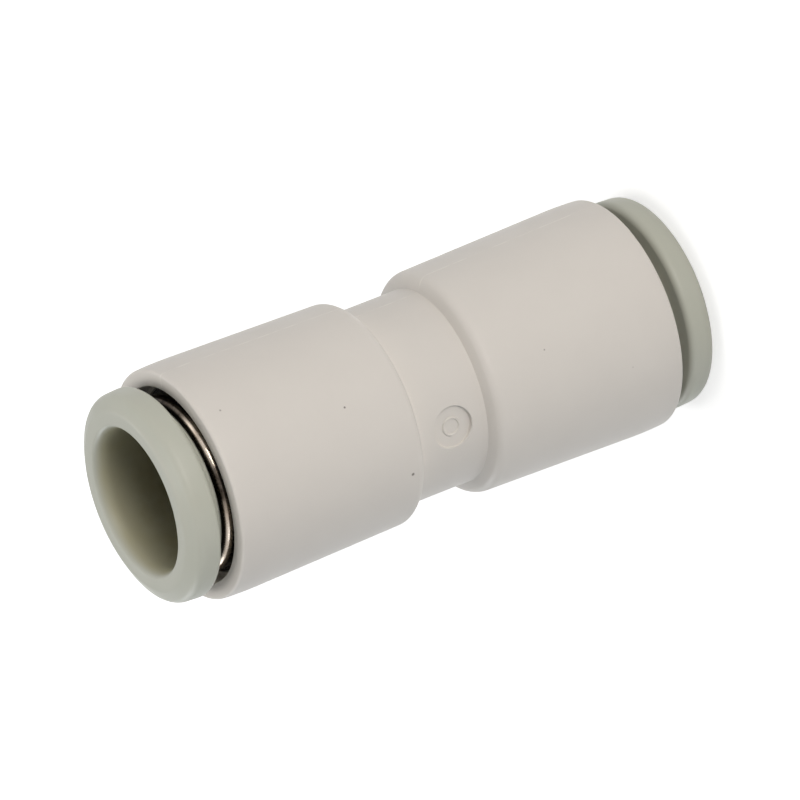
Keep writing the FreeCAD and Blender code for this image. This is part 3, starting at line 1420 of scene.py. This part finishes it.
@dataclass(frozen=True)
class Lamp:
    """A soft round lamp: where it hangs as seen from the union, its power and its colour."""

    name: str
    azimuth: float
    elevation: float
    power: float
    colour: tuple[float, float, float] = (1.0, 0.962, 0.925)
    distance: float = 0.5
    size: float = 0.22

    def build(self, middle: float) -> None:
        """Hangs the lamp and turns it to the union.

        Args:
            middle: Height of the union's middle in the frame, in metres.
        """
        towards = heading(self.azimuth, self.elevation)
        data = bpy.data.lights.new(self.name, "AREA")
        data.shape = "DISK"
        data.size = self.size
        data.energy = self.power
        data.color = self.colour
        lamp = bpy.data.objects.new(self.name, data)
        lamp.location = Vector((0.0, 0.0, middle)) + towards * self.distance
        lamp.rotation_euler = towards.to_track_quat("Z", "Y").to_euler()
        bpy.context.scene.collection.objects.link(lamp)


@dataclass
class Studio:
    """White surroundings: a wide floor under the union, soft lamps and an even sky."""

    middle: float
    floor_half: float = 1.5
    floor_segments: int = 64
    floor_drop: float = 0.02 * MM
    floor_colours: tuple[Rgb, Rgb] = ((228, 228, 228), (234, 234, 234))
    floor_roughness: float = 0.9
    floor_glow: Span = (0.6, 1.0)
    glow_reach: Span = (0.12, 0.6)
    sky: float = 0.16
    sky_colour: Shade = (0.95, 1.0, 1.06, 1.0)
    lamps: tuple[Lamp, ...] = (
        Lamp("key_lamp", 42.0, 8.0, 1.33, (1.0, 0.957, 0.915)),
        Lamp("upper_lamp", 95.0, 32.0, 0.1),
        Lamp("overhead_lamp", 60.0, 86.0, 0.76, (1.0, 0.985, 0.965)),
        Lamp("side_fill", -55.0, 5.0, 0.31, (0.94, 1.0, 1.06)),
        Lamp("back_fill", 250.0, 14.0, 0.5, (0.98, 1.0, 1.02)),
        Lamp("far_fill", 190.0, 50.0, 0.5, (1.0, 0.99, 0.98)),
    )

    def build(self) -> None:
        """Builds the floor, the lamps and the sky."""
        self.floor()
        for lamp in self.lamps:
            lamp.build(self.middle)
        self.sky_light()

    @staticmethod
    def seen(board: NodeBoard) -> Socket:
        """Tells what is looked at from what is lit.

        Args:
            board: Board of the floor or the sky.

        Returns:
            The factor that is 1 for what the camera, gloss and glass see, and 0 for light.
        """
        path = board.add("LightPath").outputs
        direct = board.reckon("MAXIMUM", path["Is Camera Ray"], path["Is Glossy Ray"])
        return board.reckon("MAXIMUM", direct, path["Is Transmission Ray"])

    def floor(self) -> None:
        """Lays the floor, which looks white and still shows the union's shadow."""
        bm = bmesh.new()
        bmesh.ops.create_circle(
            bm, cap_ends=True, radius=self.floor_half, segments=self.floor_segments
        )
        bmesh.ops.translate(bm, verts=bm.verts, vec=(0.0, 0.0, -self.floor_drop))
        mesh = bpy.data.meshes.new("studio_floor")
        bm.to_mesh(mesh)
        bm.free()
        obj = bpy.data.objects.new("studio_floor", mesh)
        bpy.context.scene.collection.objects.link(obj)
        board = MaterialBoard("floor_paper")
        dark, pale = (linear(*colour) for colour in self.floor_colours)
        away = board.measure("LENGTH", board.place())
        glow = board.spread(away, self.glow_reach, self.floor_glow)
        paper = board.shade(
            Base_Color=board.blend(board.noise(2.0, 2.0), dark, pale),
            Roughness=self.floor_roughness,
            Specular_IOR_Level=0.0,
            Emission_Color=WHITE,
            Emission_Strength=board.product(self.seen(board), glow),
        )
        mesh.materials.append(paper)

    def sky_light(self) -> None:
        """Sets an even sky, which is white where it is seen."""
        world = bpy.data.worlds.new("studio_sky")
        bpy.context.scene.world = world
        world.use_nodes = True
        board = NodeBoard(world.node_tree)
        seen = self.seen(board)
        colour = board.blend(seen, self.sky_colour, WHITE)
        strength = board.spread(seen, (0.0, 1.0), (self.sky, 1.0))
        board.fill(board.nodes["Background"], {"Color": colour, "Strength": strength})


@dataclass
class PhotoCamera:
    """The long lens of the photograph, and where it stood round the union.

    The lens, the sensor and the distances are in millimetres, the angles in degrees and the two
    limits of the view in metres.
    """

    middle: float
    lens: float = 588.55
    sensor: float = 36.0
    azimuth: float = 27.0
    elevation: float = 25.35
    roll: float = 111.427
    distance: float = 706.93
    aside: float = 0.0224
    above: float = 0.0892
    nearest: float = 0.05
    farthest: float = 20.0

    def build(self) -> None:
        """Makes the camera and hands it to the scene."""
        back = heading(self.azimuth, self.elevation)
        level = Vector((0.0, 0.0, 1.0)).cross(back).normalized()
        upright = back.cross(level)
        roll = math.radians(self.roll)
        up = upright * math.cos(roll) + level * math.sin(roll)
        right = level * math.cos(roll) - upright * math.sin(roll)
        centre = Vector((0.0, 0.0, self.middle))
        offset = back * self.distance + right * self.aside - up * self.above
        data = bpy.data.cameras.new("photo_camera")
        data.lens = self.lens
        data.sensor_width = self.sensor
        data.clip_start = self.nearest
        data.clip_end = self.farthest
        data.dof.use_dof = False
        camera = bpy.data.objects.new("photo_camera", data)
        turn = Matrix((right, up, back)).transposed().to_4x4()
        camera.matrix_world = Matrix.Translation(centre + offset * MM) @ turn
        bpy.context.scene.collection.objects.link(camera)
        bpy.context.scene.camera = camera


def main() -> None:
    """Builds every piece, then the studio and the camera."""
    logging.basicConfig(level=logging.INFO, format="%(name)s: %(message)s")
    low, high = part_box("body")
    middle = (low[2] + high[2]) / 2.0
    stations, radii = PortStations(), PortRadii()
    body_marks = (
        RareSpecks(),
        Speck(32.5, 6.26, 0.06, skin_radius=6.45),
        Speck(-12.5, 3.23, 0.09, skin_radius=6.38),
        Speck(53.0, 12.9, 0.06, skin_radius=6.585, darkest=0.5),
        SeamHighlight(5.4),
    )
    # Painted shade on the guide: dark patches round the collar and a near black coat deep in the
    # mouth.
    guide_painted_shade = (CollarShade(4.0, 33.0), CollarShade(66.0, 150.0), DeepGuideShade(13.98))
    body_resin = MouldedResin(
        "body_resin", (215, 210, 203), (217, 212, 205), 0.46, middle, body_marks
    )
    # The button's bore carries painted shade, darker further in.
    button_resin = MouldedResin(
        "button_resin", (188, 189, 177), (185, 186, 173), 0.42, middle, (BoreShade(4.1),)
    )
    collet_resin = MouldedResin("collet_resin", (214, 210, 198), (208, 204, 192), 0.5)
    guide_metal = DrawnSheet(
        "guide_metal", (190, 178, 164), (128, 108, 90), 0.22, middle, guide_painted_shade
    )
    spring_stainless = DrawnSheet("spring_stainless", (206, 206, 206), (188, 184, 178), 0.3)
    seal_rubber = SealRubber("seal_rubber", (34, 34, 35), (58, 57, 55))

    Body(stations, radii, body_resin).build(middle)
    for end in End:
        Seal(end, stations, radii, seal_rubber).build(middle)
        GripRings(end, collet_resin, spring_stainless).build()
        Guide(end, stations, radii, guide_metal).build(middle)
        ReleaseButton(end, stations, radii, button_resin).build(middle)
    Studio(middle).build()
    PhotoCamera(middle).build()
    bpy.context.scene.view_settings.view_transform = "Standard"


if __name__ == "__main__":
    main()
